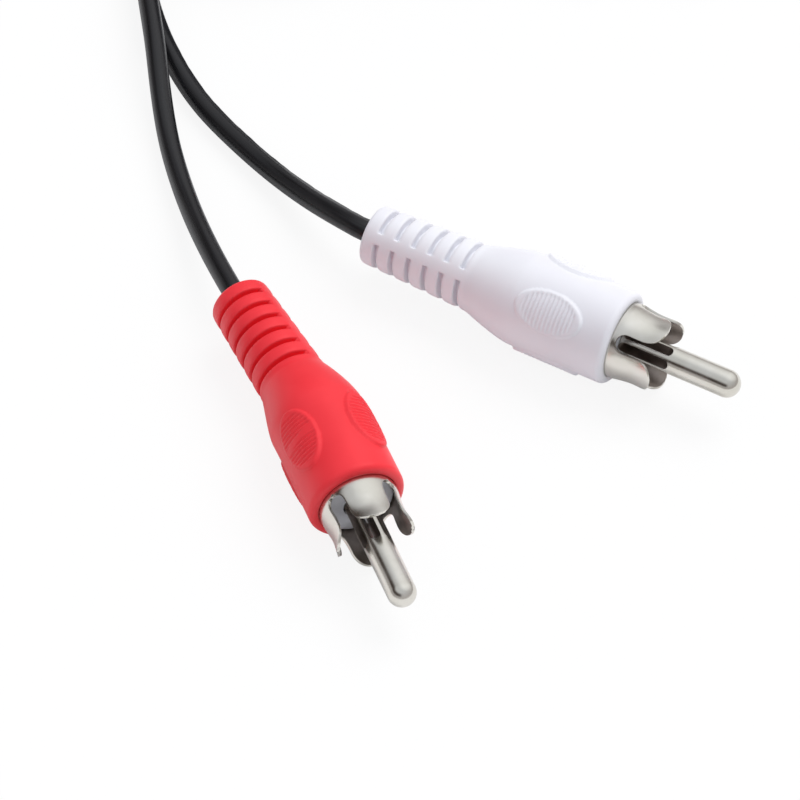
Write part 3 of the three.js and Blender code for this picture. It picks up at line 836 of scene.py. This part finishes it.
def coil_route(colour):
    """Clockwise from the leftmost point: the radius falls evenly for four turns on the lower layer
    and grows again on the upper one. Between them the strand dips inwards and climbs a layer. Over
    the tie it humps."""
    turns = np.arange(0, 2 * LAYER_TURNS + PAST_TURNS, 1 / POINTS_A_TURN)
    from_dip = np.clip((turns - DIP_MIDDLE) / DIP_TURNS, -0.5, 0.5)
    inwards = DIP_DEPTH * np.cos(from_dip * np.pi) ** 2
    radius = COIL_RADIUS - TURN_PITCH * (LAYER_TURNS - np.abs(turns - LAYER_TURNS)) - inwards
    angle = np.pi - 2 * np.pi * turns
    climb = LAYER_HEIGHT * step((turns - CLIMB_START) / CLIMB_TURNS)
    at_tie_side = np.cos(angle - TIE_ANGLE) > 0
    from_tie = np.where(at_tie_side, np.abs(radius * np.sin(angle - TIE_ANGLE)), COIL_RADIUS)
    hump = TIE_HUMP * (1 - step((from_tie - HUMP_TOP) / HUMP_SLOPE))
    x = COIL_MIDDLE[0] + radius * np.cos(angle)
    y = COIL_MIDDLE[1] + radius * np.sin(angle)
    return np.stack([x, y, STRAND_HEIGHT[colour] + climb + hump], axis=-1)


def curve_through(points):
    """Centripetal Catmull-Rom curve through the points. Each stretch is a cubic whose end slopes
    weigh the neighbouring chords by the square roots of their lengths."""
    knots = np.concatenate([[2 * points[0] - points[1]], points, [2 * points[-1] - points[-2]]])
    chords = np.diff(knots, axis=0)
    gap = np.sqrt(np.linalg.norm(chords, axis=1))[:, None]
    slopes = chords / gap
    before, here, after = gap[:-2], gap[1:-1], gap[2:]
    leave = (slopes[:-2] - (knots[2:-1] - knots[:-3]) / (before + here) + slopes[1:-1]) * here
    arrive = (slopes[1:-1] - (knots[3:] - knots[1:-2]) / (here + after) + slopes[2:]) * here
    start, chord = knots[1:-2, None], chords[1:-1, None]
    leave, arrive = leave[:, None], arrive[:, None]
    share = np.linspace(0, 1, POINTS_A_STRETCH, endpoint=False)[None, :, None]
    line = (start + leave * share + (3 * chord - 2 * leave - arrive) * share ** 2
            + (leave + arrive - 2 * chord) * share ** 3)
    return np.concatenate([line.reshape(-1, 3), points[-1:]])


def spaced(line, spacing):
    """The same line with points at even steps along it, and how far along each point is."""
    along = np.concatenate([[0], np.cumsum(np.linalg.norm(np.diff(line, axis=0), axis=1))])
    steps = np.linspace(0, along[-1], int(round(along[-1] / spacing)) + 1)
    return np.stack([np.interp(steps, along, line[:, axis]) for axis in range(3)], axis=-1), steps


def eased(line):
    """The line with its bends spread by averaging neighbours, but for its straight ends."""
    for _ in range(EASING_PASSES):
        line = np.concatenate([line[:3], (line[2:-4] + 2 * line[3:-3] + line[4:-2]) / 4, line[-3:]])
    return line


def cord_surface(line, along, colour):
    """A round section carried along the line. Its angle is measured from upwards, and the web's
    ridge stands where the other cord is. Where the web is torn the ridge is low and ragged."""
    ahead = np.gradient(line, axis=0)
    ahead /= np.linalg.norm(ahead, axis=1)[:, None]
    above = np.array([0, 0, 1.0]) - ahead[:, 2:] * ahead
    above /= np.linalg.norm(above, axis=1)[:, None]
    aside = np.cross(ahead, above)
    share = np.linspace(-1, 1, CORD_COLUMNS, endpoint=False)
    from_web = (np.pi * np.sign(share) * np.abs(share) ** CORD_COLUMNS_POWER)[None, :]
    joined = (step((along - TORN_LENGTH) / TEAR_LENGTH)
              * step((along[-1] - TORN_LENGTH - along) / TEAR_LENGTH))
    waves = np.sin(along * RAGGED_WAVES[0]) * np.sin(along * RAGGED_WAVES[1] + 1)
    ragged = TORN_HEIGHT * (1 + RAGGED_SHARE * waves)
    ridge = ragged + (WEB_HEIGHT - ragged) * joined
    turned_off = (1 - joined) * TORN_TURN[colour]
    angle = WEB_SIDE[colour] + from_web + turned_off[:, None]
    radius = CORD_RADIUS + ridge[:, None] * np.exp(-(from_web * CORD_RADIUS / WEB_HALF_WIDTH) ** 2)
    points = (line[:, None] + (radius * np.cos(angle))[..., None] * above[:, None]
              + (radius * np.sin(angle))[..., None] * aside[:, None])
    lay = np.stack(np.broadcast_arrays(CORD_RADIUS * np.cos(from_web), CORD_RADIUS * np.sin(from_web),
                                       along[:, None]), axis=-1)
    return points, lay


def black_jacket():
    """Satin soft plastic, with lengthwise lines from its extruder on the cord's own attribute."""
    material, shader, nodes, links = new_material("black_jacket", (0.008, 0.008, 0.009), roughness=0.3)
    shader.inputs["Specular IOR Level"].default_value = JACKET_SPECULAR
    lay = nodes.new("ShaderNodeAttribute")
    lay.attribute_name = "lay"
    lines = noise(nodes, links, lay.outputs["Vector"], scale=3000, stretch=(1, 1, 0.02))
    tinted(nodes, links, shader, lines, (0.006, 0.006, 0.007), (0.011, 0.011, 0.013))
    links.new(between(nodes, links, lines, 0.25, 0.36), shader.inputs["Roughness"])
    bumped(nodes, links, shader, lines, distance=0.00003, strength=0.5)
    return material


def make_cord(colour, material):
    """One of the two cords as a closed tube, with its straightened place as its lay attribute."""
    near, far = "near_" + colour, "far_" + colour
    route = np.array([behind(near, 0), behind(near, NEAR_STRAIGHT), *near_route[colour],
                      *coil_route(colour), *far_route[colour], behind(far, FAR_STRAIGHT),
                      behind(far, 0)])
    line, _ = spaced(curve_through(route), CORD_SPACING)
    line, along = spaced(eased(line), CORD_SPACING)
    points, lay = cord_surface(line, along, colour)
    faces = woven(len(line), CORD_COLUMNS, False, True).tolist()
    count = len(line) * CORD_COLUMNS
    faces.append(list(range(CORD_COLUMNS - 1, -1, -1)))
    faces.append(list(range(count - CORD_COLUMNS, count)))
    cord = piece(colour + "_side_cord", points, faces, material)
    place = cord.data.attributes.new("lay", "FLOAT_VECTOR", "POINT")
    place.data.foreach_set("vector", lay.reshape(-1) * METRES)
    return cord


jacket_material = black_jacket()
red_cord = make_cord("red", jacket_material)
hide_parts("near_red_cord", "far_red_cord", "coil")
white_cord = make_cord("white", jacket_material)
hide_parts("near_white_cord", "far_white_cord")


# Floor and light
# A white floor that keeps soft shadows, a pale tent of light and one broad lamp from behind and to
# the right. Reflections see the lamp as a soft gleam, and a dark seam low on the tent's left.
FLOOR_SIZE = 3.0
FLOOR_GLOW = 0.88
LAMP_STRENGTH = 1.95
LAMP_SPREAD = np.radians(45)
LAMP_COLOUR = (1.0, 0.99, 0.98)
LAMP_TURN = (np.radians(-24), np.radians(26), 0)
LAMP_PLACE = (0.4, 0.41, 0.82)
LAMP_GLEAM = 0.42
GLEAM_EDGE = 0.6
WALL_LIGHT = (0.42, 0.39, 0.39)
ROOF_LIGHT = (0.65, 0.67, 0.71)
ROOF_HEIGHT = 0.9
REFLECTED_MORE = 0.03
SEAM_LIGHT = (0.05, 0.036, 0.03)
SEAM_HEIGHT = 0.49
SEAM_CORE = 0.08
SEAM_EDGE = 0.26
SEAM_FAINT_FROM = -0.2
SEAM_FULL_FROM = 0.3


def floor_paint():
    """White paint. To the camera most of it glows at a white's own level."""
    material, shader, nodes, links = new_material("floor_paint", (0.93, 0.93, 0.93), roughness=0.9)
    shader.inputs["Specular IOR Level"].default_value = 0.0
    glow = nodes.new("ShaderNodeEmission")
    mix = nodes.new("ShaderNodeMixShader")
    rays = nodes.new("ShaderNodeLightPath")
    share = nodes.new("ShaderNodeMath")
    share.operation = "MULTIPLY"
    share.inputs[1].default_value = FLOOR_GLOW
    links.new(rays.outputs["Is Camera Ray"], share.inputs[0])
    links.new(share.outputs["Value"], mix.inputs["Fac"])
    links.new(shader.outputs["BSDF"], mix.inputs[1])
    links.new(glow.outputs["Emission"], mix.inputs[2])
    links.new(mix.outputs["Shader"], nodes["Material Output"].inputs["Surface"])
    return material


half = FLOOR_SIZE / 2
floor_corners = [(-half, -half, 0), (half, -half, 0), (half, half, 0), (-half, half, 0)]
floor_mesh = bpy.data.meshes.new("floor")
floor_mesh.from_pydata(floor_corners, [], [(0, 1, 2, 3)])
floor_mesh.materials.append(floor_paint())
floor = bpy.data.objects.new("floor", floor_mesh)
bpy.context.scene.collection.objects.link(floor)

lamp_data = bpy.data.lights.new("lamp", "SUN")
lamp_data.energy = LAMP_STRENGTH
lamp_data.angle = LAMP_SPREAD
lamp_data.color = LAMP_COLOUR
lamp = bpy.data.objects.new("lamp", lamp_data)
lamp.rotation_euler = LAMP_TURN
lamp.visible_glossy = False
bpy.context.scene.collection.objects.link(lamp)


def towards(nodes, links, direction, aim):
    """The share of a direction socket along a fixed aim."""
    share = nodes.new("ShaderNodeVectorMath")
    share.operation = "DOT_PRODUCT"
    share.inputs[1].default_value = aim
    links.new(direction, share.inputs[0])
    return share.outputs["Value"]


def worked_out(nodes, links, operation, first, second):
    """The result of an operation on two values, each a socket or a number."""
    result = nodes.new("ShaderNodeMath")
    result.operation = operation
    for place, value in enumerate((first, second)):
        if isinstance(value, float):
            result.inputs[place].default_value = value
        else:
            links.new(value, result.inputs[place])
    return result.outputs["Value"]


def rising(nodes, links, value, start, end):
    """A socket that rises smoothly from 0 to 1 as the value goes from the start to the end."""
    mapped = nodes.new("ShaderNodeMapRange")
    mapped.interpolation_type = "SMOOTHSTEP"
    mapped.inputs["From Min"].default_value = start
    mapped.inputs["From Max"].default_value = end
    links.new(value, mapped.inputs["Value"])
    return mapped.outputs["Result"]


def light_tent():
    """The tent's light grows from its walls to its roof, and the camera sees white. Reflections see
    a little more light, most of it round the lamp, and a seam, which is half a ring where the
    direction's height is near the seam's."""
    world = bpy.data.worlds.new("tent")
    bpy.context.scene.world = world
    world.use_nodes = True
    nodes, links = world.node_tree.nodes, world.node_tree.links
    rays = nodes.new("ShaderNodeLightPath")
    reflected = rays.outputs["Is Glossy Ray"]
    direction = nodes.new("ShaderNodeTexCoord").outputs["Generated"]
    wall = nodes.new("ShaderNodeValToRGB")
    wall.color_ramp.elements[0].position = 0.0
    wall.color_ramp.elements[0].color = (*WALL_LIGHT, 1)
    wall.color_ramp.elements[1].position = ROOF_HEIGHT
    wall.color_ramp.elements[1].color = (*ROOF_LIGHT, 1)
    height = towards(nodes, links, direction, (0, 0, 1))
    links.new(height, wall.inputs["Fac"])

    to_lamp = towards(nodes, links, direction, LAMP_PLACE)
    gleam = rising(nodes, links, to_lamp, GLEAM_EDGE, 1.0)
    gleam = worked_out(nodes, links, "MULTIPLY", gleam, LAMP_GLEAM)
    gleam = worked_out(nodes, links, "ADD", gleam, REFLECTED_MORE)
    brighter = nodes.new("ShaderNodeMix")
    brighter.data_type = "RGBA"
    brighter.blend_type = "ADD"
    brighter.inputs["B"].default_value = (1, 1, 1, 1)
    links.new(worked_out(nodes, links, "MULTIPLY", gleam, reflected), brighter.inputs["Factor"])
    links.new(wall.outputs["Color"], brighter.inputs["A"])

    off = worked_out(nodes, links, "SUBTRACT", height, SEAM_HEIGHT)
    off = worked_out(nodes, links, "ABSOLUTE", off, 0.0)
    on_seam = rising(nodes, links, off, SEAM_EDGE, SEAM_CORE)
    to_left = towards(nodes, links, direction, (-1, 0, 0))
    on_left = rising(nodes, links, to_left, SEAM_FAINT_FROM, SEAM_FULL_FROM)
    dark = worked_out(nodes, links, "MULTIPLY", on_seam, on_left)
    seamed = nodes.new("ShaderNodeMix")
    seamed.data_type = "RGBA"
    seamed.inputs["B"].default_value = (*SEAM_LIGHT, 1)
    links.new(worked_out(nodes, links, "MULTIPLY", dark, reflected), seamed.inputs["Factor"])
    links.new(brighter.outputs["Result"], seamed.inputs["A"])

    links.new(seamed.outputs["Result"], nodes["Background"].inputs["Color"])
    white = nodes.new("ShaderNodeBackground")
    mix = nodes.new("ShaderNodeMixShader")
    links.new(rays.outputs["Is Camera Ray"], mix.inputs["Fac"])
    links.new(nodes["Background"].outputs["Background"], mix.inputs[1])
    links.new(white.outputs["Background"], mix.inputs[2])
    links.new(mix.outputs["Shader"], nodes["World Output"].inputs["Surface"])


light_tent()
bpy.context.scene.view_settings.view_transform = "Standard"
